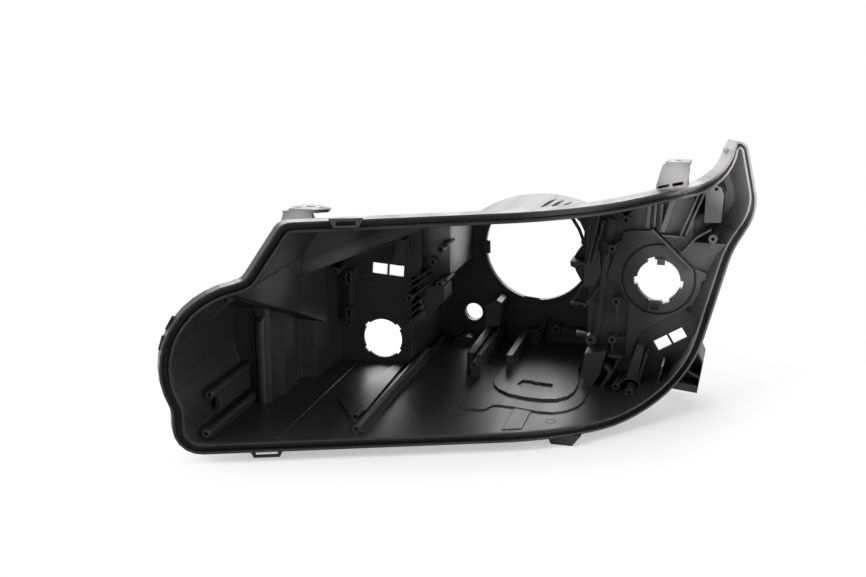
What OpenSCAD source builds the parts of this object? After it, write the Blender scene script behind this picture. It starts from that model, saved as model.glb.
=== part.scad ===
// Rear housing of a car headlamp, one black injection moulding.
// The open lens side faces -Y and the lamps are fitted from behind, so +Y is rearwards.
// +X is the outboard side of the car and +Z is up. All sizes are millimetres.
// The origin is the centre of the large lamp opening, on the inner face of its wall.

/* [Shell] */
// Wall thickness of the moulding
wall = 2.6; // [2:0.1:3.4]
// Thickness of thin ribs and webs
rib = 2; // [1.4:0.1:3]
// Level of the flange's lower edge
bottom_z = -125.7; // [-130:0.5:-122]
// Level of the flange's upper edge at the inboard corner
top_z = 93.4; // [90:0.2:96]

/* [Rim sweep] */
// Angle of the inboard stretch of the rim, seen from above
sweep_in = 21.4; // [18:0.2:24]
// Angle of the outboard stretch of the rim, seen from above
sweep_out = 50; // [46:0.5:54]
// Radius of the bend between the two stretches
sweep_r = 250; // [220:5:280]
// Place of the bend's centre across the car
sweep_x = -72; // [-76:1:-68]
// Place of the bend's centre along the car
sweep_y = -50; // [-56:1:-44]

/* [Rim outline] */
// Radius of the lower inboard corner
low_corner_r = 25; // [18:1:28]
// Radius of the round inboard lobe
lobe_r = 84.5; // [82:0.5:86]
// Place of the lobe's centre across the car
lobe_x = -190; // [-193:0.5:-187]
// Level of the lobe's centre
lobe_z = -44.5; // [-47:0.5:-42]
// Radius of the lower outboard sweep
heel_r = 90.7; // [86:0.5:94]
// Place of the lower outboard sweep's centre
heel_x = 108; // [104:0.5:112]
// Radius of the outboard nose
nose_r = 50; // [46:1:54]
// Place of the nose's centre
nose_x = 188.5; // [186:0.5:191]
// Level of the nose's centre
nose_z = 78; // [75:0.5:81]
// Radius of the hollow neck above the nose
neck_r = 36; // [33:0.5:39]
// Radius of the tip
tip_r = 13; // [11:0.5:14]

/* [Seal flange] */
// Width of the flange from its outer edge to the lens opening
flange_w = 10; // [9:0.5:12]
// Thickness of the outer lip
lip_t = 2; // [1.6:0.1:2.4]
// Width of the seal channel
channel_w = 6; // [5:0.25:6.5]
// Depth of the seal channel
channel_depth = 9; // [6:0.5:10]
// Depth of the outer lip at the nose
flange_depth = 18.5; // [16:0.5:20]
// Depth of the outer lip at the inboard end
inboard_depth = 12.4; // [12:0.2:18]
// Direction in which the channel opens, turned outboard from straight ahead
seal_turn = 35; // [33:0.5:38]

/* [Chambers] */
// Back of the inboard lobe
lobe_back = -262; // [-268:1:-256]
// Back wall with the inboard bulb hole
inboard_back = -115; // [-118:1:-112]
// Outboard end of that wall
inboard_end = -118; // [-121:1:-117]
// Back wall with the outboard bulb hole
outboard_back = -100; // [-104:1:-97]
// Inboard end of that wall
outboard_start = 73; // [71:0.5:76]
// Back of the nose
nose_back = -56; // [-60:1:-52]
// Inboard end of the nose's back wall
nose_start = 186; // [184:0.5:188]
// Fall of the roof towards the back, per millimetre
roof_fall = 0.2; // [0.18:0.01:0.22]

/* [Lamp openings] */
// Radius of the large lamp opening
main_r = 61.5; // [58:0.5:62]
// Width of the raised lip round the large opening
main_lip = 3.2; // [2:0.2:4]
// Height of that lip in front of the wall
lip_h = 3; // [2:0.5:3.5]
// Length of the collar behind the wall
collar_len = 4.5; // [3.5:0.5:8]
// Radius of the inboard bulb hole
inboard_r = 22.2; // [20.4:0.2:22.8]
// Place of the inboard bulb hole across the car
inboard_x = -152.2; // [-154:0.2:-151]
// Level of the inboard bulb hole
inboard_z = -87; // [-88:0.2:-86]
// Radius of the outboard bulb hole
outboard_r = 22.5; // [20.5:0.25:23]
// Place of the outboard bulb hole across the car
outboard_x = 145.7; // [144:0.1:147]
// Level of the outboard bulb hole
outboard_z = -2; // [-4:0.2:0]
// Radius of the raised seat round the outboard bulb hole
seat_r = 37; // [36:0.5:38]
// Height of that seat
seat_h = 5; // [3:0.5:7]
// How far the seat sits above the hole's centre
seat_up = 1.8; // [0:0.2:2.4]
// Radius of the adjuster hole
adjuster_r = 10.6; // [9:0.2:11]
// Place of the adjuster hole across the car
adjuster_x = -76.3; // [-78:0.2:-75]
// Level of the adjuster hole
adjuster_z = -83.4; // [-84:0.2:-82]

/* [Vents] */
// Width of the inboard vent
in_vent_w = 36; // [32:0.5:38]
// Height of the inboard vent
in_vent_h = 12; // [9:0.5:13]
// Place of the inboard vent across the car
in_vent_x = -145.2; // [-147:0.2:-144]
// Level of the inboard vent
in_vent_z = -7.6; // [-9:0.2:-6]
// Width of the outboard vent
out_vent_w = 33.6; // [30:0.2:35]
// Height of the outboard vent
out_vent_h = 11.5; // [9:0.5:12.5]
// Place of the outboard vent across the car
out_vent_x = 160.6; // [159:0.2:162]
// Level of the outboard vent
out_vent_z = -65.8; // [-67:0.2:-64]

/* [Screw bosses] */
// Outer radius of a screw boss
boss_r = 4.6; // [4:0.1:5]
// Radius of its pilot hole
pilot_r = 1.7; // [1.2:0.1:2]
// Depth of its pilot hole
pilot_depth = 14; // [8:1:18]

/* [Floor] */
// Height of the raised D-shaped platform
platform_h = 4; // [2:0.5:6]
// Height of the low step round the platform
step_h = 1.6; // [1:0.2:2.4]

/* [Brackets] */
// Thickness of the mounting arms
arm_t = 3.2; // [2.6:0.1:4]
// Radius of the fixing slots in the arms
arm_slot_r = 3.2; // [2.6:0.1:3.6]

/* [Hidden] */
$fn = 13;
eps = 0.4;
far = 600;
plastic = "#1c1d1f";
// How much wider the lens opening is than the chambers behind it
lens_rebate = 0.2;
// How far the cut of a bulb hole runs past the inside of its wall
cut_past = 3 * wall;

// Rim surface, as a curve seen from above
bend_x0 = sweep_x + sweep_r * sin(sweep_in);
bend_x1 = sweep_x + sweep_r * sin(sweep_out);
bend_y0 = sweep_y - sweep_r * cos(sweep_in);
bend_y1 = sweep_y - sweep_r * cos(sweep_out);
function rim_y(x) =
    x < bend_x0 ? bend_y0 + (x - bend_x0) * tan(sweep_in)
    : x < bend_x1 ? sweep_y - sqrt(sweep_r * sweep_r - (x - sweep_x) * (x - sweep_x))
    : bend_y1 + (x - bend_x1) * tan(sweep_out);

// An arc of the outline, inset by d. An arc whose angle falls is a hollow one.
// e is the inset at the arc's end, where it isn't d.
function arc(x, z, r, a0, a1, n, d, e = undef) =
    let (more = is_undef(e) ? 0 : e - d, side = a1 > a0 ? -1 : 1)
    [for (i = [0:n]) let (a = a0 + (a1 - a0) * i / n, s = r + side * (d + more * i / n))
        [x + s * cos(a), z + s * sin(a)]];

// Neck of the nose: a hollow arc. The channel narrows towards the tip, most of all on the neck, and the walls
// inside it keep their thickness.
neck_x = 177;
neck_z = 141;
neck_taper = 0.12;
nose_taper = 0.4;
nose_end = 17;
tip_x = 214.5;
tip_z = 131.5;
function tapered(d, taper) = d - (1 - taper) * max(0, min(d - lip_t, channel_w));

// Outline of the rim seen from the front, inset by d
heel_z = bottom_z + heel_r;
waist_r = 15;
waist_x = lobe_x - (lobe_r + waist_r) * cos(24);
waist_z = lobe_z - (lobe_r + waist_r) * sin(24);
left_x = waist_x + waist_r;
function outline(d) = concat(
    arc(left_x + low_corner_r, bottom_z + low_corner_r, low_corner_r, 180, 270, 5, d),
    arc(heel_x, heel_z, heel_r, 270, 347, 12, d),
    arc(293, 0, 80, 167, 143, 4, d),
    arc(nose_x, nose_z, nose_r, -37, nose_end, 6, d, tapered(d, nose_taper)),
    arc(tip_x, tip_z, tip_r, nose_end, d > lip_t ? 60 : 80, d > lip_t ? 3 : 5, tapered(d, nose_taper)),
    arc(neck_x, neck_z, neck_r, 352, 276, 7, tapered(d, neck_taper), d),
    arc(87.3, top_z + 606.4, 600, 276, 271.6, 3, d),
    arc(-159.2, top_z - 14, 14, 91.5, 146.7, 5, d),
    arc(lobe_x - 17.5, lobe_z + 95.5, 12, 326.7, 282, 4, d),
    arc(lobe_x, lobe_z, lobe_r, 102, 204, 12, d),
    arc(waist_x, waist_z, waist_r, 24, 0, 2, d));

// Directions of the seal channel in plan: across it, and into it
seal_across = [cos(seal_turn), sin(seal_turn)];
seal_into = [-sin(seal_turn), cos(seal_turn)];
function turned(p) = [[p[0], rim_y(p[0])] * seal_across, p[1]];

// A front-view profile drawn rearwards from y0 to y1
module drawn(y0, y1) {
    translate([0, y1, 0]) rotate([90, 0, 0]) linear_extrude(y1 - y0) children();
}

// The outline drawn straight back, and the outline drawn into the seal channel
module straight(d) {
    drawn(-far, far / 2) polygon(outline(d));
}
module slanted(d) {
    rotate([0, 0, seal_turn]) drawn(-far, far) polygon([for (p = outline(d)) turned(p)]);
}

// The layer between depths a and b behind the rim surface, along the seal channel.
// Where b_inboard is given, it is the depth at the inboard end, and b the one at the nose.
sweep_steps = [-360, bend_x0, for (i = [1:10]) bend_x0 + (bend_x1 - bend_x0) * i / 10, 330];
module layer(a, b, b_inboard = undef) {
    b0 = is_undef(b_inboard) ? b : b_inboard;
    front = [for (x = sweep_steps) [x, rim_y(x)] + a * seal_into];
    back = [for (x = sweep_steps) [x, rim_y(x)]
        + (b0 + (b - b0) * (x - left_x) / (nose_x + nose_r - left_x)) * seal_into];
    n = len(back);
    translate([0, 0, -far / 2]) linear_extrude(far)
        polygon(concat(front, [for (i = [1:n]) back[n - i]]));
}

// Chambers, grown by g: g is 0 for the hollow and wall for its shell
module plan(g, z0 = -far / 2, z1 = far / 2) {
    translate([0, 0, z0]) linear_extrude(z1 - z0) offset(delta = g) children();
}
module back_plan() {
    polygon([[-far, -far], [-far, lobe_back], [-240, lobe_back], [-237.5, lobe_back - 4],
        [-226, lobe_back - 4], [-223.5, lobe_back + 1], [-225, lobe_back + 14], [-219.5, -234],
        [-219, -206], [-223.5, -191], [-222, -183], [-207.5, -180], [-202, -134], [-202, inboard_back],
        [inboard_end, inboard_back], [inboard_end + 4, 0], [outboard_start - 3, 0],
        [outboard_start, outboard_back], [far / 2, outboard_back], [far / 2, -far]]);
}
// Deeper pocket of the nose, above nose_floor
nose_floor = 40;
module nose_plan() {
    polygon([[nose_start - 30, -far], [nose_start - 9, outboard_back - 4], [nose_start, nose_back],
        [far / 2, nose_back], [far / 2, -far]]);
}

// Half space above a roof that passes z at [x, y], rises outboard and falls rearwards
module roof_above(x, y, z, rise) {
    translate([x, y, z]) rotate([-atan(roof_fall), -atan(rise), 0])
        translate([-far, -far, 0]) cube([2 * far, 2 * far, far]);
}
module roof_cut(g) {
    intersection() {
        roof_above(outboard_start, -253, 96 - wall + g, 0.1);
        roof_above(outboard_start, -239, 94.5 - wall + g, 0.307);
        translate([-far, -far, -far]) cube([far + nose_start + 1, 2 * far, 2 * far]);
    }
}

// Recess above the inboard chamber: its underside rises outboard, its front leans back from a rounded foot
drop_front = -250;
drop_x = -195.5;
drop_z = 14.5;
drop_rise = 23.3;
drop_roll = 14;
drop_lean = 16;
module roof_drop(g) {
    intersection() {
        drawn(drop_front + g, far / 2) offset(delta = -g)
            polygon([[drop_x, drop_z], [-48, 78], [-48, 200], [-far, 200], [-far, 60], [drop_x - 6, 50]]);
        union() {
            translate([-far / 2, drop_front + g + drop_roll, -far / 2]) cube(far);
            translate([drop_x, drop_front + g + drop_roll, drop_z + 10 + g]) rotate([-drop_lean, -drop_rise, 0]) {
                translate([-far / 2, eps / 2 - drop_roll, 0]) cube([far, far, far / 2]);
                rotate([0, 90, 0]) cylinder(h = far, r = drop_roll, center = true);
            }
        }
    }
}

// Recess beside the inboard chamber, above the lobe
module lobe_drop(g) {
    intersection() {
        plan(-g) polygon([[drop_x - 15, -380], [drop_x, drop_front], [drop_x, -173], [-202, -150], [-202, -100],
            [-far, -100], [-far, -380]]);
        drawn(-400, -90) polygon([[-far, 200], [0, 200], [0, -53 + g], [-far, -53 + g]]);
        translate([-far, -365, 25 + g]) rotate([-22.6, 0, 0]) cube([far, far, far]);
    }
}

// Recess behind the boss panel, between the inboard chamber and the large one
panel_y = -100;
panel_z = -14;
panel_end = -79;
module panel_recess(g) {
    plan(-g, panel_z + g, far / 2)
        polygon([[-140, inboard_back], [-108, inboard_back], [-108, panel_y],
            [panel_end, panel_y], [panel_end + 4, 40], [-140, 40]]);
}

// Everything outboard of the heel's slanted side walls
side_turn = 2;
module heel_side(g) {
    difference() {
        translate([outboard_start - 20, -far / 2, -far / 2]) cube([far, far, far / 2 + nose_floor + 20]);
        rotate([0, 0, side_turn]) drawn(-far, far)
            polygon([for (p = outline(flange_w - g)) [[p[0], rim_y(p[0])] * [cos(side_turn), sin(side_turn)], p[1]]]);
    }
}
module nose_side(g) {
    difference() {
        translate([outboard_x, -far / 2, -34]) cube([far, far, far]);
        slanted(flange_w - g);
    }
}

// Wide low arch over the large opening, from the boss panel to the outboard wall
bulge_r = 135.4;
bulge_x = 8;
bulge_z = -75;
bulge_line = 11;
function bulge_arc(g) = arc(bulge_x, bulge_z, bulge_r, 62, 128, bulge_line, -g);
module bulge(g) {
    polygon(bulge_arc(g));
}
// Everything below the arch
module below_bulge(g) {
    line = bulge_arc(g);
    polygon(concat(line, [[line[bulge_line][0], -far], [line[0][0], -far]]));
}

module chambers(g) {
    difference() {
        intersection() {
            straight(flange_w - g);
            union() {
                plan(g) back_plan();
                plan(g, nose_floor - g, far / 2) nose_plan();
            }
        }
        roof_cut(g);
        roof_drop(g);
        lobe_drop(g);
        panel_recess(g);
        heel_side(g);
        nose_side(g);
    }
    // Wide bulge of the roof over the large opening
    drawn(-116, g) bulge(g);
}

// Flange: a seal channel between two lips, of which the outer one reaches further back
module flange() {
    difference() {
        intersection() {
            slanted(0);
            layer(0, flange_depth, inboard_depth);
        }
        flange_hollows();
    }
}
module flange_hollows() {
    // Seal channel
    intersection() {
        difference() {
            slanted(lip_t);
            slanted(lip_t + channel_w);
        }
        layer(-1, channel_depth);
    }
    // Open back between the outer lip and the walls
    intersection() {
        difference() {
            slanted(lip_t);
            chambers(wall);
            slanted(flange_w - 1);
        }
        layer(channel_depth + lip_t, flange_depth + 1);
    }
    // Lens opening, a little wider than the chambers behind it
    intersection() {
        slanted(flange_w - lens_rebate / 2);
        straight(flange_w - lens_rebate);
    }
}

// A screw boss on the draw direction, from its root to its tip
module boss(x, z, tip, root, r = boss_r) {
    difference() {
        drawn(tip, root) translate([x, z]) circle(r = r);
        drawn(tip - 1, tip + pilot_depth) translate([x, z]) circle(r = pilot_r);
    }
}

// A rib on the draw direction, from just beside the point p to the point q
module web(p, q, y0, y1, t = rib) {
    d = q - p;
    skip = pilot_r + 1;
    drawn(y0, y1) translate(p) rotate(atan2(d[1], d[0])) translate([skip, -t / 2])
        square([norm(d) - skip, t]);
}

floor_z = bottom_z + flange_w;

module lobe_fittings() {
    lower = rim_y(-242) + 10;
    boss(-242.5, floor_z + 6.5, lower, lobe_back + 1);
    web([-242.5, floor_z + 7], [-242.5, floor_z - 1], lower + 10, lobe_back + 1, rib + 2);
    boss(-249, -79.5, rim_y(-250) + 36, lobe_back + 1);
    web([-249, -79.5], [-257.4, -79.5], rim_y(-250) + 40, lobe_back + 1);
    web([-249, -80], [-247, -100], rim_y(-250) + 52, lobe_back + 1, rib + 3);
    // Cheek at the top of the lobe, with its boss
    cheek = rim_y(-227) + 27;
    boss(-227, 16, cheek, cheek + 45);
    web([-227, 16], [-206, 25], cheek + 3, cheek + 41);
    drawn(cheek + 6, cheek + 10) intersection() {
        polygon(outline(flange_w - 1));
        polygon([[-224, 14], [-228.5, 9.3], [-245.3, -6.6], [-268.7, -18.4], [-280, 0], [-240, 40],
            [-224, 30]]);
    }
}

module floor_ridge() {
    x = -112.5;
    tip = rim_y(x) + 13;
    boss(x, floor_z + 4.7, tip, -74);
    drawn(tip + 4, -70) polygon([[x - 7, floor_z - 1], [x - 2.6, floor_z + 5],
        [x + 2.6, floor_z + 5], [x + 6, floor_z - 1]]);
    drawn(-74, 1) translate([x + 4, floor_z - 1]) square([4, 9]);
    near = rim_y(-124) + 49;
    boss(-124, floor_z + 4, near, near + 18, boss_r - 1.2);
    web([-124, floor_z + 4], [-124, floor_z - 1], near + 4, near + 18, rib + 1);
}

// Ramp beside the ridge, and the low rib along the inboard floor
module floor_ramp() {
    translate([0, 0, floor_z - 1]) linear_extrude(1 + 2.4)
        polygon([[-134, -110], [-126, -110], [-121, -292], [-128, -290], [-157, -245], [-156, -240]]);
    translate([-181, -352, floor_z - 1]) cube([1.4, 240, 1.8]);
}

// Column with a boss, and the block on the back wall beside the adjuster hole
module adjuster_column() {
    x = -43;
    z = -102;
    boss(x, z, -137, -20);
    translate([x - 4, -133, floor_z - 1]) cube([11, 6, z - floor_z + 1]);
    translate([x + 2, -133, floor_z - 1]) cube([5, 134, 26]);
    translate([x - 14, -110, floor_z - 1]) cube([9, 111, 20]);
    translate([x - 6, -120, floor_z - 1]) cube([10, 120, 12]);
    drawn(-40, 1) polygon([[-53, -88], [-36, -86], [-34, -58], [-40, -55], [-52, -62]]);
    // Smooth bump on the floor
    intersection() {
        translate([-80, 1, floor_z - 7]) rotate([90, 0, 0]) cylinder(h = 27, r = 17);
        translate([-100, -30, floor_z - 1]) cube([40, 40, 20]);
    }
}

// Upright plate on the floor, bent towards the outboard side at its back
module floor_plate() {
    top = -94;
    translate([-12, -115, floor_z - 1]) cube([7, 101, top - floor_z + 1]);
    translate([-6, -20, floor_z - 1]) cube([13, 5, top - floor_z + 1]);
    boss(9, top + 2, -26, 1, boss_r - 1);
    web([9, top + 2], [9, floor_z - 1], -22, 1);
    web([9, top + 2], [14, top + 12], -22, 1);
    boss(25.5, -91, -20, 1, boss_r + 1);
    web([25.5, -92], [56, -95], -16, 1, rib + 4);
}

// D-shaped platform with its slotted recess, and the low step round it
module floor_platform() {
    translate([0, 0, floor_z - 1]) linear_extrude(1 + platform_h) difference() {
        polygon([[-5, 1], [-18, -116], [-18, -148], [-14, -163], [-7, -174], [6, -185], [24, -190.5],
            [42, -191.5], [56, -187.5], [66, -176], [70, -162], [71, -137], [64, -92], [64, 1]]);
        polygon([[9, -157], [11, -140], [22, -140], [24, -142.5], [33, -142.5], [35, -144], [45, -144],
            [47, -168], [40, -168], [38, -165.5], [28, -165.5], [26, -163], [14, -163], [13, -157]]);
    }
    translate([0, 0, floor_z - 1]) linear_extrude(1 + step_h)
        polygon([[-36, -100], [-36, -226], [-20, -231], [-11, -230], [-7, -225], [-4, -215], [2, -213],
            [16, -214.5], [44, -220.5], [58, -219.5], [70, -211], [78, -199], [83, -182], [82, -110]]);
    translate([0, 0, floor_z - 1]) linear_extrude(1 + step_h / 2)
        polygon([[19, -214], [18.5, rim_y(18.5) + 8], [36.5, rim_y(36.5) + 8], [36.5, -214]]);
}

// Collar of the large lamp opening behind its wall, and its lip and two stops in front
module ring_shape(r0, r1) {
    difference() {
        intersection() {
            circle(r = r1, $fn = 32);
            below_bulge(wall - eps / 2);
        }
        circle(r = r0, $fn = 32);
    }
}
module main_collar() {
    drawn(wall / 2, collar_len) ring_shape(main_r, main_r + main_lip);
}
module main_front() {
    drawn(-lip_h, wall / 2) ring_shape(main_r, main_r + main_lip);
    // Lower step outside the lip
    drawn(-lip_h / 2, wall / 2) difference() {
        ring_shape(main_r + main_lip - 1, main_r + main_lip + 2.6);
        translate([-far, 20]) square(2 * far);
    }
    for (s = [[181.6, 5.6, 15], [264.7, 3.2, 19]]) {
        drawn(-lip_h - 3.2, -lip_h - 1) stop_shape(s);
        drawn(-lip_h - 3.2, -1) difference() {
            stop_shape(s);
            circle(r = main_r + 1, $fn = 32);
        }
    }
}
module stop_shape(s) {
    rotate(s[0]) translate([main_r - s[1], -s[2] / 2]) square([s[1] + main_lip, s[2]]);
}

// Bosses, struts and guide ribs on and under the panel beside the large opening
module panel_fittings() {
    boss(-95.8, 3.3, panel_y - 12, panel_y + 1);
    for (p = [[-82.5, 22.5], [-83, -16]]) {
        boss(p[0], p[1], panel_y - 30, panel_y + 1, boss_r - 0.6);
        web(p, p + [7, 4], panel_y - 24, panel_y + 6, rib + 1);
    }
    boss(-117.5, -34.5, inboard_back - 14, inboard_back + 1);
    // Slanting guide ribs
    y = inboard_back;
    for (z = [-29, -22]) web([inboard_end - 4, z], [-99, z + 17], y - 8, -90);
    for (z = [-66, -59, -51]) web([inboard_end - 4, z], [-103, z + 17], y - 8, -86);
    web([-117, -36], [-98, -20], y - 12, -90, rib + 1);
    // Upright triangular plate
    drawn(-114, -84) polygon([[-108, -37], [-99, -23], [-82, -23], [-81, -38], [-101, -60]]);
}

// Rail that carries the reflector frame, beside the large opening
module reflector_rail() {
    drawn(-90, -40) polygon([[51, 60], [60, 52], [67, 38], [66, 30], [58, 20], [54, 12], [57, -1],
        [64, -13], [68, -20], [73.5, -17], [72.5, 66]]);
    drawn(-108, -99) polygon([[68, -14], [80, -12], [86, 2], [80, 66], [70, 66]]);
    drawn(-112, -84) polygon([[54, 14], [55, 9], [60, 7], [61.5, 10.5], [70.5, 10.5], [73.5, 15],
        [73, 19], [70, 14]]);
    web([55, -36], [68, -10], -111, -45);
    web([69, -37], [86, -12], -111, -99, rib + 0.6);
    drawn(-111, -104) polygon([[56, -31], [58, -34], [68, -32.5], [70, -34.5], [72, -31], [60, -29]]);
    // Thin strut between the rail and the roof
    drawn(-62, -57) polygon([[41, 60], [49, 49], [56, 38], [60, 28], [62, 23], [58, 21], [57.6, 27.5],
        [53.7, 37], [47, 47], [39, 57]]);
    // Blades above the rail
    web([72, 8], [83, 66], -114, -99, rib + 0.4);
    web([77, 12], [88, 60], -113, -99);
    web([66, 24], [69, 66], -100, -60);
    drawn(-60, 1) polygon([[66, -40], [72.5, -40], [71, 66], [64, 66], [68, 30]]);
}

// Fittings on the wall of the outboard bulb hole
module outboard_fittings() {
    y = outboard_back;
    for (p = [[97.9, 31.6], [104.3, -24.7], [101.8, -66.5], [111, 62.8]]) boss(p[0], p[1], y - 18, y + 1);
    boss(79, -68.5, y - 18, y + 1, boss_r + 1);
    web([79, -68.5], [62, -66], y - 8, y + 1, rib + 2);
    web([101.8, -66.5], [101.8, -88], y - 14, y + 1);
    web([101.8, -66.5], [114, -65], y - 12, y + 1);
    web([97.9, 31.6], [89, 36], y - 15, y + 1, rib + 1);
    web([97.9, 31.6], [105, 38], y - 15, y + 1, rib + 1);
    web([97.9, 31.6], [92, 22], y - 12, y + 1);
    web([111, 62.8], [101, 72], y - 14, y + 1, rib + 1);
    web([111, 62.8], [123, 80], y - 14, y + 1, rib + 1);
    web([104.3, -24.7], [104.3, -44], y - 10, y + 1, rib + 1);
    // Raised plate round the bulb hole's seat, and the groove round the seat
    difference() {
        drawn(y - seat_h, y + 1) polygon([[106, 40], [107, 47], [116, 49.5], [131.5, 50], [139.5, 53],
            [145, 46], [151, 38], [175, 15], [187, 11.5], [194, 9], [194.6, 3], [189.5, -1], [187, -23],
            [179, -27], [139, -53], [129, -62], [120, -90], [114, -90], [116, -47], [116.5, -26],
            [113, -23], [106, -8.5], [97, -7], [92, 1], [97, 15]]);
        drawn(y - seat_h - 1, y - seat_h + 3.4) translate([outboard_x, outboard_z + seat_up]) difference() {
            circle(r = seat_r + 1.6, $fn = 30);
            circle(r = seat_r - 0.8, $fn = 30);
        }
        drawn(y - seat_h - 1, y + 2) translate([outboard_x, outboard_z]) circle(r = outboard_r - 0.4, $fn = 30);
    }
    // Stop above the hole and clip pocket below it
    drawn(y - seat_h - 3, y - 1) translate([outboard_x - 2, outboard_z + outboard_r - 5]) square([8, 7]);
    drawn(y - seat_h - 4, y - 1) translate([outboard_x - 9, outboard_z - outboard_r - 10]) difference() {
        square([13, 12]);
        translate([2, 2]) square([9, 6]);
    }
    // Long rib over the plate and the fan of ribs behind it
    web([135, 55], [180, 13], y - 12, y + 1);
    web([145, 47], [170, 46.5], y - 10, y + 1);
    web([165, 45], [185, 100], y - 9, y + 1);
    web([170, 46], [190, 100], y - 9, y + 1);
    web([167, 28], [182, 47], y - 10, y + 1);
    web([179, 45], [196, 56], y - 10, y + 1);
    web([145.5, 50], [146, 80], y - 8, y + 1, rib + 1);
    web([147, 49], [160, 96], y - 12, y + 1, rib + 3);
    web([132, 50], [134, 88], y - 5, y + 1, rib + 2);
    web([139, 52], [140, 90], y - 8, y + 1);
    // Raised strip beside the wall's inboard edge
    drawn(y - 4, y + 1) polygon([[80, -78], [85, -77], [93, 1], [98, 60], [92, 62], [86, 0]]);
}

// Half tube with an arched front, two bosses and the clip brackets of the heel
module heel_fittings() {
    y = outboard_back;
    x = 124;
    z = -112;
    drawn(y - 31, y + 1) translate([x, z]) difference() {
        polygon(concat([[-12.5, floor_z - z - 1]], [for (a = [180:-20:0]) [12 * cos(a), 10 * sin(a)]],
            [[12.5, floor_z - z - 1]]));
        polygon(concat([[-10.5, floor_z - z - 2]], [for (a = [180:-20:0]) [10 * cos(a), 8 * sin(a)]],
            [[10.5, floor_z - z - 2]]));
    }
    boss(x + 1, z + 0.5, y - 50, y + 1);
    boss(110, -110, y - 40, y + 1, boss_r - 0.4);
    web([110, -110], [110, floor_z - 1], y - 34, y + 1, rib + 1.4);
    web([132, -108], [139, -76], y - 24, y + 1, rib + 1);
    drawn(y - 24, y + 1) polygon([[119, -103], [131, -104], [136, -72], [129, -67], [124, -84]]);
    web([151, -112], [157, -83], y - 42, y + 1);
    // Bracket plate with a notched lower edge, and two clips
    drawn(y - 30, y + 1) polygon([[75, -80], [98, -75], [91, -103], [83, -118], [74.5, -118],
        [77, -108], [71, -106]]);
    drawn(y - 26, y + 1) polygon([[99, -80], [114, -81], [114, -84], [99, -83]]);
    drawn(y - 30, y + 1) polygon([[95, -91], [98, -91], [105, -99], [96, -116], [92, -116], [101, -99]]);
    web([98, -116], [110, -86], y - 22, y + 1);
}

// Fittings in the pocket of the nose
module nose_fittings() {
    // Pilaster with a pilot hole near its rounded top
    difference() {
        drawn(-106, nose_back + 1) polygon([[188.5, 62], [205, 63], [206.3, 91], [203.5, 98.5],
            [198, 101.5], [188.5, 100.5]]);
        drawn(-107, -106 + pilot_depth) translate([198.6, 97]) circle(r = pilot_r);
    }
    boss(198.5, 47.5, -115, nose_back + 1);
    web([198.5, 47.5], [198.5, nose_floor - 2], -110, nose_back + 1, rib + 3);
}

// Hinge lugs and bosses at the back of the inboard chamber
module inboard_fittings() {
    y = inboard_back;
    boss(-197, -7, -142, y + 1);
    web([-197, -7], [-186, 1], -138, y + 1);
    boss(-187, -67, -128, y + 1, boss_r - 1.4);
    for (z = [-24, -65]) drawn(y - 13, y + 1) translate([-191, z]) difference() {
        square([8, 15]);
        translate([2.4, 3]) square([3, 9]);
    }
    drawn(y - 10, y + 1) translate([-188, -51]) square([1.8, 28]);
    drawn(y - 14, y + 1) polygon([[-130, 30], [-122, 30], [-122, 5], [-129.4, 1], [-137, 4]]);
    web([-180, 9], [-140, 28], -172, y + 1);
    web([-180, 13], [-118, 38], -172, y + 1);
}

module vent_window(x, z, w, h, turn, y) {
    translate([x, y, z]) rotate([0, -turn, 0]) rotate([90, 0, 0]) translate([0, 0, -cut_past])
        linear_extrude(cut_past + seat_h + 9)
        for (s = [-1, 1]) translate([s * (w + rib) / 4 - (w - rib) / 4, -h / 2])
            square([(w - rib) / 2, h]);
}

// Bayonet bulb hole: a round hole with notches at the given angles
module bayonet_hole(x, z, r, y0, y1, turns, notch, reach) {
    drawn(y0, y1) translate([x, z]) {
        circle(r = r, $fn = 30);
        for (a = turns) rotate(a) translate([r - 3, -notch / 2]) square([3 + reach, notch]);
    }
}

// Mounting arms on the roof
module inboard_arm() {
    y = -290;
    difference() {
        union() {
            drawn(y, y + arm_t) polygon([[-197, 68], [-196, 78], [-193.5, 86], [-190, 90], [-184.5, 92.5],
                [-163.5, 92.5], [-163.5, 84], [-162, 68]]);
            // Top plate, which narrows outboard
            translate([0, y, 92.5 - arm_t]) linear_extrude(arm_t) polygon([[-187, 0], [-160, 0], [-150, 7],
                [-151, 16], [-164, 24], [-176, 24], [-187, 12]]);
            for (x = [-193.5, -169]) translate([x, y, 66]) rotate([90, 0, 90])
                linear_extrude(arm_t) polygon([[0, 0], [26, 0], [8, 22], [0, 24]]);
        }
        for (p = [[-181, 7], [-170, 13], [-156, 10]]) translate([p[0], y + p[1], 84]) {
            translate([-3, -arm_slot_r / 2, 0]) cube([6, arm_slot_r, 12]);
            for (s = [-3, 3]) translate([s, 0, 0]) cylinder(h = 12, r = arm_slot_r / 2);
        }
    }
}
module outboard_arm() {
    y = -142;
    difference() {
        union() {
            drawn(y, y + arm_t) polygon([[139, 80], [141, 99], [145, 118], [147.5, 125], [152, 128.5],
                [173, 128.5], [173.5, 120], [172, 108], [172, 80]]);
            translate([150, y, 128.5 - arm_t]) cube([23.5, 20, arm_t]);
            for (p = [[142, 24], [169, 44]]) translate([p[0], y, 80]) rotate([90, 0, 90])
                linear_extrude(arm_t) polygon([[0, 0], [34, 0], [8, p[1]], [0, p[1] + 2]]);
            drawn(y, y + 16) polygon([[142, 94], [142.5, 108], [172, 114], [172, 94]]);
        }
        for (s = [0, 1]) drawn(y - 1, y + 14) translate([144.5 + 13.4 * s, 100.6 + 3.4 * s])
            rotate(14) square([10.6, 3]);
        translate([162, y + 11, 118]) cylinder(h = 14, r = arm_slot_r);
    }
}

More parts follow.
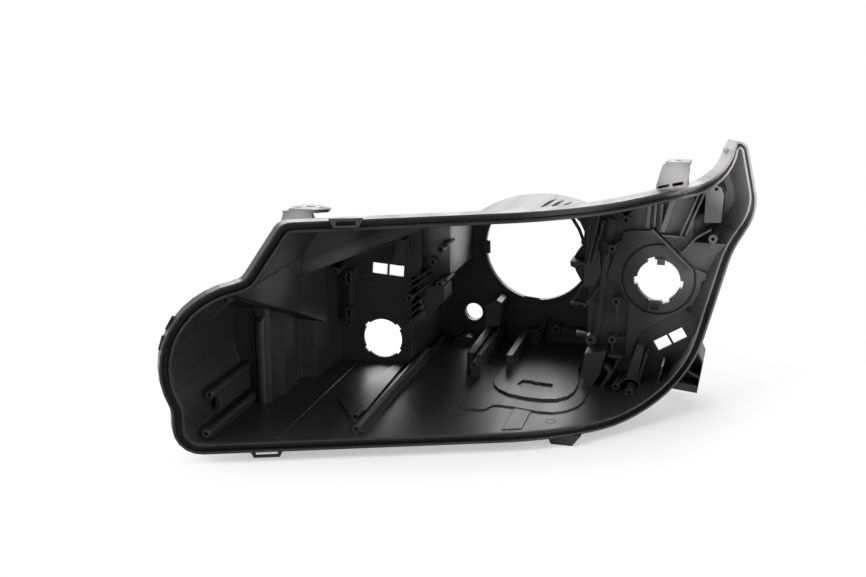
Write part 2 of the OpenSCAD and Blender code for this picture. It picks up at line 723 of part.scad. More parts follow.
// Block under the heel that carries the outboard fixing
module heel_block() {
    y = -112;
    difference() {
        drawn(y, y + 46) polygon([[150, -96], [167, -116.5], [192, -119], [196.5, -85], [190, -71],
            [184, -60], [181.5, -62], [176.5, -84], [162, -91.5]]);
        // Two pockets in front, with a web between them
        drawn(y - 1, y + 22) polygon([[166, -108], [192.5, -111], [193, -103], [180, -96.5]]);
        drawn(y - 1, y + 30) polygon([[182, -95], [193.5, -100.5], [195, -86.5], [189.5, -75], [181, -80]]);
        drawn(y + 34, y + 50) polygon([[170, -112], [189, -114.5], [192, -88], [186, -80], [179, -92]]);
    }
}

// Foot and clip loops on the flange
module foot() {
    near = rim_y(75) + 3;
    drawn(near, near + 16) polygon([[57, bottom_z + 1.2], [91, bottom_z + 1.2],
        [83, bottom_z - 9.8], [62, bottom_z - 9.8]]);
}
module clip_loop(w, h) {
    difference() {
        linear_extrude(3) polygon([[-w / 2, 0], [w / 2, 0], [w / 2 - h / 2, -h], [-w / 2 + h / 2, -h]]);
        translate([-w / 2 + h / 2 + 2, -h + 2, -1]) cube([w - h - 4, h - 5, 5]);
    }
}
module clip_loops() {
    translate([-114, rim_y(-114), top_z + 2.2]) rotate([0, 0, sweep_in]) rotate([62, 0, 0])
        translate([0, 0, -1]) clip_loop(31, 9);
    translate([-190, rim_y(-190) + 9, bottom_z + 2]) rotate([0, 0, sweep_in]) rotate([90, 0, 0])
        clip_loop(34, 9.6);
    for (a = [150, 163]) translate([lobe_x + (lobe_r - 1) * cos(a), rim_y(lobe_x + lobe_r * cos(a)) + 12,
        lobe_z + (lobe_r - 1) * sin(a)]) rotate([0, 0, sweep_in]) rotate([90, 0, 0]) rotate(a + 90)
            clip_loop(22, 8.4);
}

// Raised collars on the back, which the lamp sockets and covers clip over
module back_collars() {
    drawn(inboard_back, inboard_back + 8) translate([inboard_x, inboard_z]) difference() {
        circle(r = inboard_r + 8, $fn = 30);
        circle(r = inboard_r + 5.4, $fn = 30);
    }
    drawn(outboard_back, outboard_back + 8) translate([outboard_x, outboard_z]) difference() {
        circle(r = outboard_r + 8, $fn = 30);
        circle(r = outboard_r + 5.4, $fn = 30);
    }
}

// Counterbored hole for the levelling screw, and the tube behind it
adjuster_tube = 11;
module adjuster_hole() {
    translate([adjuster_x, 0, adjuster_z]) rotate([-90, 0, 0]) {
        translate([0, 0, -1]) cylinder(h = adjuster_tube + wall, r = adjuster_r);
        translate([0, 0, -1]) cylinder(h = 1 + wall / 2, r = adjuster_r + 2);
    }
}
module adjuster_collar() {
    drawn(wall / 2, adjuster_tube) translate([adjuster_x, adjuster_z]) circle(r = adjuster_r + wall);
}

module shell() {
    difference() {
        union() {
            flange();
            intersection() {
                chambers(wall);
                layer(2, 2 * far);
            }
            main_collar();
            back_collars();
            adjuster_collar();
            inboard_arm();
            outboard_arm();
            heel_block();
            foot();
        }
        chambers(0);
        drawn(-lip_h, 3 * wall) circle(r = main_r, $fn = 32);
    }
}

// Everything inside, trimmed within the roof
module fittings() {
    difference() {
        inner_parts();
        roof_cut(wall / 2);
    }
}
module inner_parts() {
    lobe_fittings();
    floor_ridge();
    floor_ramp();
    adjuster_column();
    floor_plate();
    floor_platform();
    panel_fittings();
    reflector_rail();
    inboard_fittings();
    outboard_fittings();
    heel_fittings();
    nose_fittings();
}

module housing() {
    color(plastic) difference() {
        union() {
            shell();
            main_front();
            fittings();
            clip_loops();
        }
        bayonet_hole(inboard_x, inboard_z, inboard_r, inboard_back - wall, inboard_back + cut_past,
            [38, 140, 218, 322], 7, 2);
        bayonet_hole(outboard_x, outboard_z, outboard_r, outboard_back - seat_h - 1, outboard_back + cut_past,
            [111, 183, 291, 353], 8, 2.8);
        vent_window(in_vent_x, in_vent_z, in_vent_w, in_vent_h, -3.5, inboard_back);
        vent_window(out_vent_x, out_vent_z, out_vent_w, out_vent_h, 31.5, outboard_back);
        adjuster_hole();
    }
}

housing();
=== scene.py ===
# %% [markdown]
# # Rear housing of a car headlamp
#
# The real part is one black injection moulding, open at the front, where a lens is glued into the
# channel that runs round its rim. Lamps clip into the round holes from behind. The whole shape is
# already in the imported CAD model, which is exact, so nothing of it is modelled again here. Blender
# adds what CAD leaves out: the moulded surface, the small marks of the mould, the light and the
# photographer's view. Units are metres, +Y is rearwards and +Z is up.

# %% Load the frame
import math

import bpy
from mathutils import Euler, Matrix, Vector


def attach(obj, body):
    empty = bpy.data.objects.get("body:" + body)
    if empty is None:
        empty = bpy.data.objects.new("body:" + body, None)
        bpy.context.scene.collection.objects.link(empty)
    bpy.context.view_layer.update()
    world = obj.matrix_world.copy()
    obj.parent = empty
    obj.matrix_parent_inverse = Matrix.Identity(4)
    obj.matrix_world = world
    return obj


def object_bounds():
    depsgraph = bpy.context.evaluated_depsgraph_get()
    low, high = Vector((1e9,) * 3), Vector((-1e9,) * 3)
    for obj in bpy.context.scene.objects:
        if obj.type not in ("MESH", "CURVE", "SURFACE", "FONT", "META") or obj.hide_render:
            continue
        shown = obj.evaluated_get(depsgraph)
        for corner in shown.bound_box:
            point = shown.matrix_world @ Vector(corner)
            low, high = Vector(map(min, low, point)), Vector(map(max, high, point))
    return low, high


MM = 0.001

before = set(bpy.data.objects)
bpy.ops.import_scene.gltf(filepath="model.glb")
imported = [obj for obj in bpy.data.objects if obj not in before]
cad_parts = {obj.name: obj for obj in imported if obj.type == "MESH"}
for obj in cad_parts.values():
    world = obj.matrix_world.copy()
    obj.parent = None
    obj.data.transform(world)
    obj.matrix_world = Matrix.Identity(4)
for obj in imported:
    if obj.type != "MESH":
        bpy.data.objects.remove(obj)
cad_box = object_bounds()
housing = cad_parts["housing"]
print("CAD box in mm:", [[round(v / MM, 1) for v in corner] for corner in cad_box])

# %% [markdown]
# ## The photographer's camera
#
# The part stands a little turned and is seen slightly from above, so that the camera looks into its
# chambers. Such a view could be framed by eye, but an error of a few degrees shows at once in the
# round holes. It was solved instead, by matching holes and rim corners of the part with their places
# in the picture: a 50 mm lens, about 1.4 m away, to the right of the part and 15 degrees above it.

# %% Camera
CAMERA_PLACE = Vector((0.2436, -1.3268, 0.3189))
CAMERA_TILT = math.radians(74.69)
CAMERA_PAN = math.radians(15.58)
LENS_MM = 49.88
SENSOR_MM = 36

camera = bpy.data.objects.new("camera", bpy.data.cameras.new("camera"))
camera.data.lens = LENS_MM
camera.data.sensor_width = SENSOR_MM
camera.location = CAMERA_PLACE
camera.rotation_euler = Euler((CAMERA_TILT, 0, CAMERA_PAN))
bpy.context.scene.collection.objects.link(camera)
bpy.context.scene.camera = camera
print("camera looks at the part from", round(CAMERA_PLACE.length, 2), "m")

# %% [markdown]
# ## Helpers for colours and nodes
#
# A colour picker shows sRGB hex values, while shaders work with linear light, so one function turns
# the first into the second and every colour below is written as a picker shows it. Materials could
# be wired by hand in the shader editor. Wiring them in code keeps them readable, and one function
# that adds a node, sets it and links it takes up most of the typing.

# %% Helpers for colours and nodes
# Numbers of the sockets that a Mix node uses for colours. Their names repeat for each kind of value.
MIX_FACTOR, MIX_A, MIX_B = 0, 6, 7
MIX_COLOUR = 2


def linear(hex_colour):
    """Turns an sRGB hex colour into linear red, green, blue and alpha, by the curve of the standard."""
    channels = [int(hex_colour[i:i + 2], 16) / 255 for i in (1, 3, 5)]
    return [c / 12.92 if c <= 0.04045 else ((c + 0.055) / 1.055) ** 2.4 for c in channels] + [1]


def add_node(tree, kind, settings=None, links=None):
    """Adds a node. settings holds its properties and input values, links what feeds its inputs.

    An input goes by its name, or by its number where the node has several of one name.
    """
    node = tree.nodes.new(kind)
    for key, value in (settings or {}).items():
        if isinstance(key, str) and hasattr(node, key):
            setattr(node, key, value)
        else:
            node.inputs[key].default_value = value
    for key, socket in (links or {}).items():
        tree.links.new(socket, node.inputs[key])
    return node


def new_material(name):
    """Makes a material and gives it back with its node tree and its main shader."""
    material = bpy.data.materials.new(name)
    material.use_nodes = True
    tree = material.node_tree
    return material, tree, tree.nodes["Principled BSDF"]


print("sRGB mid grey is", round(linear("#808080")[0], 3), "in linear light")

# %% [markdown]
# ## Black talc-filled polypropylene
#
# Headlamp housings are moulded from polypropylene filled with talc or glass, coloured black right
# through. It has an IOR of about 1.5 and reflects softly, so it is nearly black seen square on and
# pale at a grazing angle. Where the melt flowed into the mould it leaves faint streaks, a little
# greyer and duller than the rest. Pictures of a surface could be wrapped round the part, but a
# noise worked out in space has no seams. It is stretched along Y, the way of the flow.

# %% Flow streaks
PLASTIC_BLACK = linear("#1f1e1f")
PLASTIC_STREAK = linear("#2a2829")
# Roughness in the smoothest and in the dullest streaks
SMOOTHEST, DULLEST = 0.33, 0.45
# Width of a streak. Along Y the noise is scaled down, so that streaks run long.
STREAK = 30 * MM
STREAK_SCALE_Y = 0.22
STREAK_DETAIL = 4
STREAK_HARSHNESS = 0.6
# A noise lies between these values nearly everywhere
NOISE_LOW, NOISE_HIGH = 0.3, 0.7


def flow_streaks(tree, place):
    """Colour and roughness of the bare plastic, both from the same streaks."""
    flow = add_node(tree, "ShaderNodeMapping", {"Scale": (1, STREAK_SCALE_Y, 1)}, {"Vector": place})
    streaks = add_node(tree, "ShaderNodeTexNoise",
                       {"Scale": 1 / STREAK, "Detail": STREAK_DETAIL, "Roughness": STREAK_HARSHNESS},
                       {"Vector": flow.outputs["Vector"]}).outputs["Fac"]
    black = add_node(tree, "ShaderNodeMix",
                     {"data_type": "RGBA", MIX_A: PLASTIC_BLACK, MIX_B: PLASTIC_STREAK},
                     {MIX_FACTOR: streaks})
    rough = add_node(tree, "ShaderNodeMapRange",
                     {"From Min": NOISE_LOW, "From Max": NOISE_HIGH, "To Min": SMOOTHEST,
                      "To Max": DULLEST}, {"Value": streaks})
    return black.outputs[MIX_COLOUR], rough.outputs["Result"]


print("streaks about", round(STREAK / MM), "mm wide")

# %% [markdown]
# ### Eroded grain and rounded edges
#
# The mould is spark eroded, which leaves a fine even grain on the plastic, and its edges are never
# quite sharp. Real bumps and radii all over the part would take millions of faces. Instead, the
# shader alone is told of them: a fine noise bends the light as the grain would, and a Bevel node
# rounds the sharp CAD edges for it, while the exact shape stays as it is.

# %% Eroded grain and rounded edges
# The eroded grain is about 0.1 mm wide, too fine for this picture, so it is drawn at 0.9 mm
GRAIN = 0.9 * MM
GRAIN_DETAIL = 2
GRAIN_DEPTH = 0.05 * MM
GRAIN_STRENGTH = 0.35
EDGE_ROUND = 1.2 * MM
EDGE_SAMPLES = 4


def grained_normal(tree, place):
    """The way each point faces, with the grain in it and the edges rounded."""
    grain = add_node(tree, "ShaderNodeTexNoise", {"Scale": 1 / GRAIN, "Detail": GRAIN_DETAIL},
                     {"Vector": place})
    rounded = add_node(tree, "ShaderNodeBevel", {"samples": EDGE_SAMPLES, "Radius": EDGE_ROUND})
    bump = add_node(tree, "ShaderNodeBump", {"Strength": GRAIN_STRENGTH, "Distance": GRAIN_DEPTH},
                    {"Height": grain.outputs["Fac"], "Normal": rounded.outputs["Normal"]})
    return bump.outputs["Normal"]


print("grain", round(GRAIN / MM, 1), "mm wide, edges rounded by", round(EDGE_ROUND / MM, 1), "mm")

# %% [markdown]
# ### Painted sheen
#
# Light and sheen make the plastic pale in patches, here and there and never evenly, and this pale
# light is painted into its colour. A map of it could be painted on the unwrapped part. Soft round
# spots in space do the same with a centre and a radius each, need no unwrapping and are easily moved.
# The painted sheen lies on faces that look forwards, so that a spot doesn't come through the thin wall.

# %% Painted sheen
# Centre and radius of each spot in metres, and how strong the painted sheen is there
PAINTED_SHEEN_SPOTS = [
    ((0.228, -0.07, 0.112), 0.075, 1.0),
    ((0.158, -0.13, 0.112), 0.036, 0.95),
    ((-0.178, -0.284, 0.076), 0.03, 0.75),
    ((0.205, -0.1, 0.04), 0.1, 0.25),
    ((-0.078, -0.06, 0.03), 0.055, 0.85),
    ((-0.165, -0.25, 0.045), 0.045, 0.09),
    ((-0.2, -0.3, 0.03), 0.05, 0.07),
    ((0.155, -0.1, 0.07), 0.045, 0.4),
    ((0.185, -0.12, -0.04), 0.06, 0.12),
]
# Share of a spot's radius that is painted pale in full, before it fades out
SHEEN_CORE = 0.35
# Y of the normal at which a face is painted pale in full. From 0 on, faces look rearwards and stay bare.
SHEEN_FACING = -0.03


def painted_sheen_mask(tree, place):
    """How strongly each point is painted pale, from 0 to 1: the strongest spot there, on forward faces.
    """
    strongest = None
    for centre, radius, strength in PAINTED_SHEEN_SPOTS:
        offset = add_node(tree, "ShaderNodeVectorMath", {"operation": "SUBTRACT", 1: centre}, {0: place})
        distance = add_node(tree, "ShaderNodeVectorMath", {"operation": "LENGTH"},
                            {0: offset.outputs["Vector"]})
        spot = add_node(tree, "ShaderNodeMapRange",
                        {"interpolation_type": "SMOOTHSTEP", "From Min": radius,
                         "From Max": SHEEN_CORE * radius, "To Min": 0.0, "To Max": strength},
                        {"Value": distance.outputs["Value"]}).outputs["Result"]
        if strongest is None:
            strongest = spot
            continue
        strongest = add_node(tree, "ShaderNodeMath", {"operation": "MAXIMUM"},
                             {0: strongest, 1: spot}).outputs["Value"]
    normal = add_node(tree, "ShaderNodeTexCoord").outputs["Normal"]
    rearwards = add_node(tree, "ShaderNodeSeparateXYZ", links={"Vector": normal}).outputs["Y"]
    facing = add_node(tree, "ShaderNodeMapRange", {"From Min": 0.0, "From Max": SHEEN_FACING},
                      {"Value": rearwards}).outputs["Result"]
    return add_node(tree, "ShaderNodeMath", {"operation": "MULTIPLY"},
                    {0: strongest, 1: facing}).outputs["Value"]


# Each spot is painted sheen: pale light laid into the colour of the plastic.
print(len(PAINTED_SHEEN_SPOTS), "spots of bloom")

# %% [markdown]
# ### The finished plastic
# Streaks, grain and the painted sheen meet in one Principled shader. The moulding could get a material
# for each area, but it is one shot of one plastic, so one material covers it all and changes over it
# softly.

# %% Black moulded plastic
PAINTED_SHEEN = linear("#b9b7b8")
PLASTIC_IOR = 1.5


def black_plastic():
    """Deep black that turns pale at a grazing angle, with faint streaks and patches of painted sheen."""
    material, tree, shader = new_material("spark_eroded_black_polypropylene")
    place = add_node(tree, "ShaderNodeTexCoord").outputs["Object"]
    colour, roughness = flow_streaks(tree, place)
    # Painted sheen: the spots turn the colour pale where light grazes the plastic.
    sheened = add_node(tree, "ShaderNodeMix", {"data_type": "RGBA", MIX_B: PAINTED_SHEEN},
                       {MIX_FACTOR: painted_sheen_mask(tree, place), MIX_A: colour})
    tree.links.new(sheened.outputs[MIX_COLOUR], shader.inputs["Base Color"])
    tree.links.new(roughness, shader.inputs["Roughness"])
    tree.links.new(grained_normal(tree, place), shader.inputs["Normal"])
    shader.inputs["IOR"].default_value = PLASTIC_IOR
    return material


plastic = black_plastic()
for slot in housing.material_slots:
    slot.material = plastic
print("housing wears", plastic.name)

# %% [markdown]
# ## Small marks and fittings
#
# The moulding has marks of its mould and a few small fittings that are too fine for the CAD model.
# They could be cut into it with booleans, but that would disturb the exact mesh. Each is its own
# small mesh instead, set where a ray meets the wall, so that none floats or sinks, and it rides on
# the moulding and takes its finish.

# %% Pieces on a wall
RIGHTWARDS = Vector((1, 0, 0))
REARWARDS = Vector((0, 1, 0))
DOWNWARDS = Vector((0, 0, -1))
# From here to the ribs, sizes and places are in mm, as in the CAD model. Only points are in metres.
# Height of a piece's foot over the wall: a little below it, so that no gap shows
SUNK = -0.1


def wall_at(start, direction):
    """The point where a ray, given in mm, meets the moulding, and the wall's normal there."""
    graph = bpy.context.evaluated_depsgraph_get()
    found, place, normal, *_ = bpy.context.scene.ray_cast(graph, Vector(start) * MM, direction)
    if not found:
        raise ValueError(f"no wall from {start}")
    return place, normal


def riding_piece(name, points, faces, material):
    """Makes a mesh piece that belongs to the moulding."""
    mesh = bpy.data.meshes.new(name)
    mesh.from_pydata(points, [], faces)
    piece = bpy.data.objects.new(name, mesh)
    piece.data.materials.append(material)
    bpy.context.scene.collection.objects.link(piece)
    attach(piece, "root")


print("small pieces start", -SUNK, "mm below the wall")

# %% [markdown]
# All these pieces are rows of points with faces between them, so one function makes the faces of
# them all. The round ones could start from Blender's cylinder, but would then need to be cut, bent
# and turned. A section turned round the wall's own normal has any shape at once, and stands square
# on a leaning wall as well.

# %% Rows of points
TURN_STEPS = 32


def turned_section(place, normal, section, stretch=1.0):
    """Points of a section, as (radius, height) in mm, turned round the normal of a wall."""
    turn = normal.to_track_quat("Z", "Y")
    points = []
    for radius, height in section:
        for i in range(TURN_STEPS):
            angle = 2 * math.pi * i / TURN_STEPS
            flat = Vector((radius * math.cos(angle), stretch * radius * math.sin(angle), height)) * MM
            points.append(place + turn @ flat)
    return points


def skin(rows, length, capped=True):
    """Faces over rows of points, with length points in each row, and each row closed round.

    The first and the last row are capped, or else the last is joined to the first.
    """
    pairs = [(row, row + 1) for row in range(rows - 1)]
    if not capped:
        pairs.append((rows - 1, 0))
    faces = []
    for a, b in pairs:
        for i in range(length):
            j = (i + 1) % length
            faces.append((a * length + i, a * length + j, b * length + j, b * length + i))
    if capped:
        faces.append(tuple(range((rows - 1) * length, rows * length)))
        faces.append(tuple(reversed(range(length))))
    return faces


print("round pieces have", TURN_STEPS, "sides")

# %% [markdown]
# ### Ejector marks
#
# Steel pins push the part out of its mould, and the gap round each pin leaves a round witness line
# on the wall. It could be bump in the material, but a real ring catches the light from all sides
# and is part of the mesh itself. Its section is a thin ridge, a quarter of a millimetre high.

# %% Ejector marks
MARK_WIDTH = 0.45
MARK_HEIGHT = 0.25
# Start of the ray in mm, its direction, and the pin's radius in mm
EJECTOR_MARKS = [
    ((-169.8, -250, -17.9), REARWARDS, 5.2),
    ((-88.3, -180, 36.7), REARWARDS, 4.6),
    ((-166, -180, -60), REARWARDS, 4.6),
    ((60, -240, -90), DOWNWARDS, 5.0),
    ((-30, -250, -60), DOWNWARDS, 5.0),
    ((-150, -300, -60), DOWNWARDS, 5.0),
]

for number, (start, direction, radius) in enumerate(EJECTOR_MARKS):
    place, normal = wall_at(start, direction)
    ridge = [(radius + MARK_WIDTH, SUNK), (radius, MARK_HEIGHT), (radius - MARK_WIDTH, SUNK)]
    faces = skin(len(ridge), TURN_STEPS, capped=False)
    riding_piece(f"ejector_mark_{number}", turned_section(place, normal, ridge), faces, plastic)
print(len(EJECTOR_MARKS), "ejector marks")

# %% [markdown]
# ### Clip pockets
#
# Two oval pockets in the nose take trim clips. Little light reaches their floors, so they read as
# dark ovals on the pale wall. They could be cut deep into the wall, but a shallow cup with a low rim
# gives the same look without opening the moulding. It is turned like a ring and stretched along the
# wall, and its shade is painted: the same polypropylene, darker and duller, as the eye sees it down
# in a pocket.

# %% Clip pockets
# Painted shade: the plastic's colours as they look down in a pocket, where little light reaches
PAINTED_POCKET_SHADE = linear("#0b0b0b")
PAINTED_POCKET_SHADE_STREAK = linear("#161515")
POCKET_ROUGHNESS = 0.8
POCKET_DETAIL = 2
# Start of the ray and half the pocket's width, in mm
POCKETS = [((205, -68, 92), 2.6), ((205, -64, 75), 3.2)]
POCKET_STRETCH = 1.75
POCKET_RIM_HEIGHT = 0.5
POCKET_FLOOR_HEIGHT = 0.15
# Shares of the half width at which the flat of the rim ends and the floor begins
POCKET_RIM_SHARE = 0.8
POCKET_FLOOR_SHARE = 0.7


def painted_pocket_shade():
    """The same plastic with painted shade, nearly black and dull, as where a deep pocket keeps the light
    out.
    """
    material, tree, shader = new_material("polypropylene_with_painted_pocket_shade")
    place = add_node(tree, "ShaderNodeTexCoord").outputs["Object"]
    streaks = add_node(tree, "ShaderNodeTexNoise", {"Scale": 1 / STREAK, "Detail": POCKET_DETAIL},
                       {"Vector": place})
    black = add_node(tree, "ShaderNodeMix",
                     {"data_type": "RGBA", MIX_A: PAINTED_POCKET_SHADE, MIX_B: PAINTED_POCKET_SHADE_STREAK},
                     {MIX_FACTOR: streaks.outputs["Fac"]})
    tree.links.new(black.outputs[MIX_COLOUR], shader.inputs["Base Color"])
    shader.inputs["Roughness"].default_value = POCKET_ROUGHNESS
    shader.inputs["IOR"].default_value = PLASTIC_IOR
    return material


painted_shade_plastic = painted_pocket_shade()
for number, (start, half_width) in enumerate(POCKETS):
    place, normal = wall_at(start, RIGHTWARDS)
    cup = [(half_width, SUNK), (half_width, POCKET_RIM_HEIGHT),
           (POCKET_RIM_SHARE * half_width, POCKET_RIM_HEIGHT),
           (POCKET_FLOOR_SHARE * half_width, POCKET_FLOOR_HEIGHT)]
    points = turned_section(place, normal, cup, POCKET_STRETCH)
    riding_piece(f"clip_pocket_{number}", points, skin(len(cup), TURN_STEPS), painted_shade_plastic)
print(len(POCKETS), "clip pockets in the nose")

# %% [markdown]
# ### Locating peg
#
# A short peg on the neck of the nose centres the part in the car's wing. A plain cylinder would do,
# but such pegs have a tapered tip that finds its hole, so it is a turned section as well.

# %% Locating peg
# Start of the ray, in mm
PEG_RAY = (150, -92, 134)
PEG_RADIUS = 2.4
PEG_LENGTH = 4.2
# The neck is curved, so the peg's foot lies deeper in it than that of other pieces
PEG_SUNK = 3 * SUNK
# Shares of the length at which the taper starts, and of the radius that is left at the tip
PEG_SHOULDER = 0.75
PEG_TIP = 0.6

place, normal = wall_at(PEG_RAY, RIGHTWARDS)
peg = [(PEG_RADIUS, PEG_SUNK), (PEG_RADIUS, PEG_SHOULDER * PEG_LENGTH),
       (PEG_TIP * PEG_RADIUS, PEG_LENGTH)]
riding_piece("locating_peg", turned_section(place, normal, peg), skin(len(peg), TURN_STEPS), plastic)
print("locating peg", PEG_LENGTH, "mm long")

# %% [markdown]
# ### Column in the lobe
#
# A half-round column stiffens the back wall of the lobe. A whole cylinder pushed half into the wall
# would look the same from the front, but might come out behind a wall so thin. So it is drawn as
# half a circle in plan and stands on the floor, a little sunk into the wall behind it, and its top
# leans back into that wall.

# %% Column in the lobe
COLUMN_RADIUS = 5.4
COLUMN_X = -231.6
COLUMN_TOP = -30
COLUMN_STEPS = 12
# Share of its depth that the column keeps at its very top
COLUMN_TIP = 0.1
# Y in the open front of the lobe, where a ray starts that looks for the back wall
IN_FRONT = -330


def half_round_column(name, x, top, radius):
    """A column on the floor and against the back wall. x, top and radius are in mm."""
    wall = wall_at((x, IN_FRONT, top), REARWARDS)[0]
    floor = wall_at((x, wall.y / MM - radius, top), DOWNWARDS)[0]
    back = wall.y / MM - SUNK
    levels = [(floor.z / MM + SUNK, 1.0), (top, 1.0), (top + radius, COLUMN_TIP)]
    points = []
    for height, share in levels:
        for i in range(COLUMN_STEPS + 1):
            angle = math.pi * i / COLUMN_STEPS
            front = back - share * radius * math.sin(angle)
            points.append(Vector((x + radius * math.cos(angle), front, height)) * MM)
    riding_piece(name, points, skin(len(levels), COLUMN_STEPS + 1), plastic)


half_round_column("lobe_column", COLUMN_X, COLUMN_TOP, COLUMN_RADIUS)
print("column", 2 * COLUMN_RADIUS, "mm wide in the lobe")

# %% [markdown]
# ### Ribs on the hump
#
# Thin ribs stiffen the hump of the roof. A straight bar would float over the curved roof or sink
# into it, so each rib is draped: rays dropped on the hump give its foot at each step, and its
# section is a narrow ridge with a flat top, which falls away at both ends. Four ribs run side by
# side, back from the rim.

# %% Ribs on the hump
RIB_WIDTH = 1.6
RIB_HEIGHT = 1.8
RIB_STEPS = 10
# Share of the width that is flat on top, and of the height that is left at the ends
RIB_FLAT = 0.7
RIB_END = 0.2
# First end, last end and spacing of the ribs in plan, in mm, and their number
RIB_FROM = Vector((14, -86))
RIB_TO = Vector((22, -22))
RIB_PITCH = Vector((8.5, 0.5))
RIB_COUNT = 4
# Z above the hump, where the rays start
ABOVE_HUMP = 120


def draped_rib(name, start, end):
    """A low ridge that follows the roof from start to end, both in plan."""
    along = (end - start).normalized()
    side = Vector((-along.y, along.x, 0)) * RIB_WIDTH / 2
    points = []
    for i in range(RIB_STEPS + 1):
        spot = start.lerp(end, i / RIB_STEPS)
        foot = wall_at((spot.x, spot.y, ABOVE_HUMP), DOWNWARDS)[0]
        share = min(1, 2 * i / RIB_STEPS + RIB_END, 2 * (RIB_STEPS - i) / RIB_STEPS + RIB_END)
        top = share * RIB_HEIGHT
        section = [(-1, SUNK), (-RIB_FLAT, top), (RIB_FLAT, top), (1, SUNK)]
        points += [foot + (across * side + Vector((0, 0, up))) * MM for across, up in section]
    riding_piece(name, points, skin(RIB_STEPS + 1, len(section)), plastic)


for number in range(RIB_COUNT):
    draped_rib(f"hump_rib_{number}", RIB_FROM + number * RIB_PITCH, RIB_TO + number * RIB_PITCH)
print(RIB_COUNT, "ribs on the hump")

# %% [markdown]
# ## White paper
#
# The part stands on matt white paper that runs into a white background without an edge. A curved
# backdrop could be modelled, but its bend would show in views from the other sides. Flat paper that
# fades to plain white away from the part looks alike from all sides, and near the part enough of
# its own shading is left for the shadow. Only the camera sees the fade, so it adds no light.

# %% Fade into the background
# Distances from a centre, in metres, between which the paper fades, and the share of white before
FADE_CENTRE = (0.0, -0.2, 0.0)
FADE_FROM, FADE_TO = 0.24, 0.52
LEAST_FADE = 0.45


def share_of_white(tree, place, rays):
    """How much plain white the camera sees over the paper, from 0 to 1."""
    offset = add_node(tree, "ShaderNodeVectorMath", {"operation": "SUBTRACT", 1: FADE_CENTRE},
                      {0: place})
    distance = add_node(tree, "ShaderNodeVectorMath", {"operation": "LENGTH"},
                        {0: offset.outputs["Vector"]})
    fade = add_node(tree, "ShaderNodeMapRange",
                    {"From Min": FADE_FROM, "From Max": FADE_TO, "To Min": LEAST_FADE},
                    {"Value": distance.outputs["Value"]})
    return add_node(tree, "ShaderNodeMath", {"operation": "MULTIPLY"},
                    {0: fade.outputs["Result"], 1: rays["Is Camera Ray"]}).outputs["Value"]


print("paper is plain white from", FADE_TO, "m on")

# %% [markdown]
# In front of the part the paper ends and the darker room begins. The picture doesn't show it, but
# the plastic mirrors it. A room could be built round the table, but it would stand in the way in
# other views, so the paper itself turns darker there, for the reflections alone.

# %% Room in the reflections
PAPER_WHITE = linear("#f4f4f3")
ROOM_GREY = linear("#5c5c5c")
# Y in metres, between which the paper turns into the darker room
ROOM_FROM, ROOM_TO = -0.2, -0.5


def paper_colour(tree, place, rays):
    """White, and in front of the part grey to the rays that come from a glossy face."""
    depth = add_node(tree, "ShaderNodeSeparateXYZ", links={"Vector": place}).outputs["Y"]
    room = add_node(tree, "ShaderNodeMapRange", {"From Min": ROOM_FROM, "From Max": ROOM_TO},
                    {"Value": depth})
    mirrored = add_node(tree, "ShaderNodeMath", {"operation": "MULTIPLY"},
                        {0: room.outputs["Result"], 1: rays["Is Glossy Ray"]})
    return add_node(tree, "ShaderNodeMix",
                    {"data_type": "RGBA", MIX_A: PAPER_WHITE, MIX_B: ROOM_GREY},
                    {MIX_FACTOR: mirrored.outputs["Value"]}).outputs[MIX_COLOUR]


print("the room begins", -ROOM_TO, "m in front")

# %% [markdown]
# The table itself is one large square under the part. A thick table top would do as well, but
# nobody sees its edge, and one face takes the same shadow.

# %% Table
PAPER_ROUGHNESS = 0.9
TABLE_SIDE = 60
# The table top lies this far below the part, so that no two faces lie in one plane
TABLE_GAP = 0.2 * MM


def white_paper():
    """Matt white that shows a soft shadow and fades into the plain white background."""
    material, tree, shader = new_material("white_paper")
    place = add_node(tree, "ShaderNodeTexCoord").outputs["Object"]
    rays = add_node(tree, "ShaderNodeLightPath").outputs
    shader.inputs["Roughness"].default_value = PAPER_ROUGHNESS
    tree.links.new(paper_colour(tree, place, rays), shader.inputs["Base Color"])
    white = add_node(tree, "ShaderNodeEmission", {"Strength": 1.0})
    mix = add_node(tree, "ShaderNodeMixShader",
                   links={0: share_of_white(tree, place, rays), 1: shader.outputs["BSDF"],
                          2: white.outputs["Emission"]})
    tree.links.new(mix.outputs["Shader"], tree.nodes["Material Output"].inputs["Surface"])
    return material


half = TABLE_SIDE / 2
table_mesh = bpy.data.meshes.new("table")
table_mesh.from_pydata([(-half, -half, 0), (half, -half, 0), (half, half, 0), (-half, half, 0)], [],
                       [(0, 1, 2, 3)])
table = bpy.data.objects.new("table", table_mesh)
table.location.z = cad_box[0].z - TABLE_GAP
table.data.materials.append(white_paper())
bpy.context.scene.collection.objects.link(table)
print("table top at Z", round(table.location.z / MM, 1), "mm")

# %% [markdown]
# ## Lamps
#
# Black plastic shows its form by what it reflects, so the part is lit by large soft lamps that lay
# broad pale planes over it. One dome of light could do it, but it flattens the chambers. Six lamps
# are set one by one instead: high and low on both sides, one above, and a wide one behind that
# draws bright lines along the edges of the rim.

# %% Lamps
# Name, place and size in metres, and power in watts
LAMPS = [
    ("left_softbox", (-1.5, -1.7, 1.6), (1.2, 1.2), 34),
    ("low_left_softbox", (-2.0, -1.1, 0.6), (0.9, 0.9), 18),
    ("right_softbox", (2.0, -1.2, 1.5), (1.0, 1.0), 12),
    ("low_right_softbox", (2.0, -1.2, 0.25), (1.0, 0.8), 18),
    ("top_softbox", (0.0, -0.1, 2.2), (1.6, 1.2), 24),
    ("back_softbox", (-0.7, 2.3, 1.0), (3.0, 1.5), 50),
]
# The middle of the part, at which all lamps point
LIT_POINT = Vector((0, -0.15, 0))


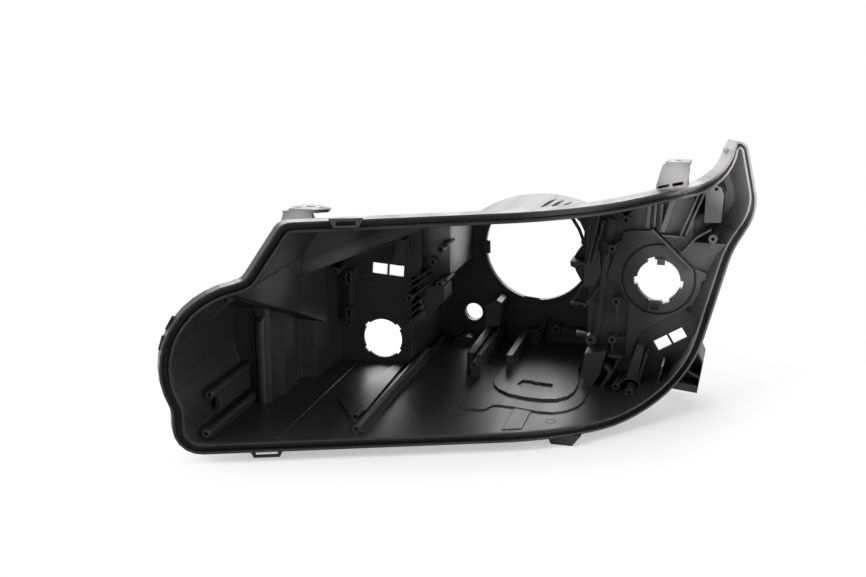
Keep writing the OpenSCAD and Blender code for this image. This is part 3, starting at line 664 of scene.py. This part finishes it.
def soft_lamp(name, place, size, watts):
    """A rectangular lamp that points at the part and isn't seen itself."""
    lamp = bpy.data.objects.new(name, bpy.data.lights.new(name, "AREA"))
    lamp.data.shape = "RECTANGLE"
    lamp.data.size, lamp.data.size_y = size
    lamp.data.energy = watts
    lamp.location = place
    lamp.rotation_euler = (LIT_POINT - Vector(place)).to_track_quat("-Z", "Y").to_euler()
    lamp.visible_camera = False
    bpy.context.scene.collection.objects.link(lamp)


for name, place, size, watts in LAMPS:
    soft_lamp(name, place, size, watts)
print(len(LAMPS), "lamps,", sum(watts for *_, watts in LAMPS), "W in all")

# %% [markdown]
# ## White surround
#
# The background of the picture is plain white. A world of full white would also light the part and
# wash out its shadows, so the world tells rays apart with Light Path: the camera sees plain white,
# the gloss of the plastic sees a share of it, and as light on the part the world stays weak.

# %% White surround
SURROUND_WHITE = linear("#ffffff")
SURROUND_STRENGTH = 0.25
# Share of plain white that the plastic sees in its reflections
REFLECTED_WHITE = 0.6

world = bpy.data.worlds.new("white_surround")
world.use_nodes = True
bpy.context.scene.world = world
sky = world.node_tree
weak = sky.nodes["Background"]
weak.inputs["Color"].default_value = SURROUND_WHITE
weak.inputs["Strength"].default_value = SURROUND_STRENGTH
rays = add_node(sky, "ShaderNodeLightPath").outputs
plain = add_node(sky, "ShaderNodeBackground", {"Color": SURROUND_WHITE, "Strength": 1.0})
mirrored = add_node(sky, "ShaderNodeMath", {"operation": "MULTIPLY", 1: REFLECTED_WHITE},
                    {0: rays["Is Glossy Ray"]})
seen = add_node(sky, "ShaderNodeMath", {"operation": "MAXIMUM"},
                {0: rays["Is Camera Ray"], 1: mirrored.outputs["Value"]})
pick = add_node(sky, "ShaderNodeMixShader",
                links={0: seen.outputs["Value"], 1: weak.outputs["Background"],
                       2: plain.outputs["Background"]})
sky.links.new(pick.outputs["Shader"], sky.nodes["World Output"].inputs["Surface"])
bpy.context.scene.view_settings.view_transform = "Standard"
print("surround lights the part with a strength of", SURROUND_STRENGTH)
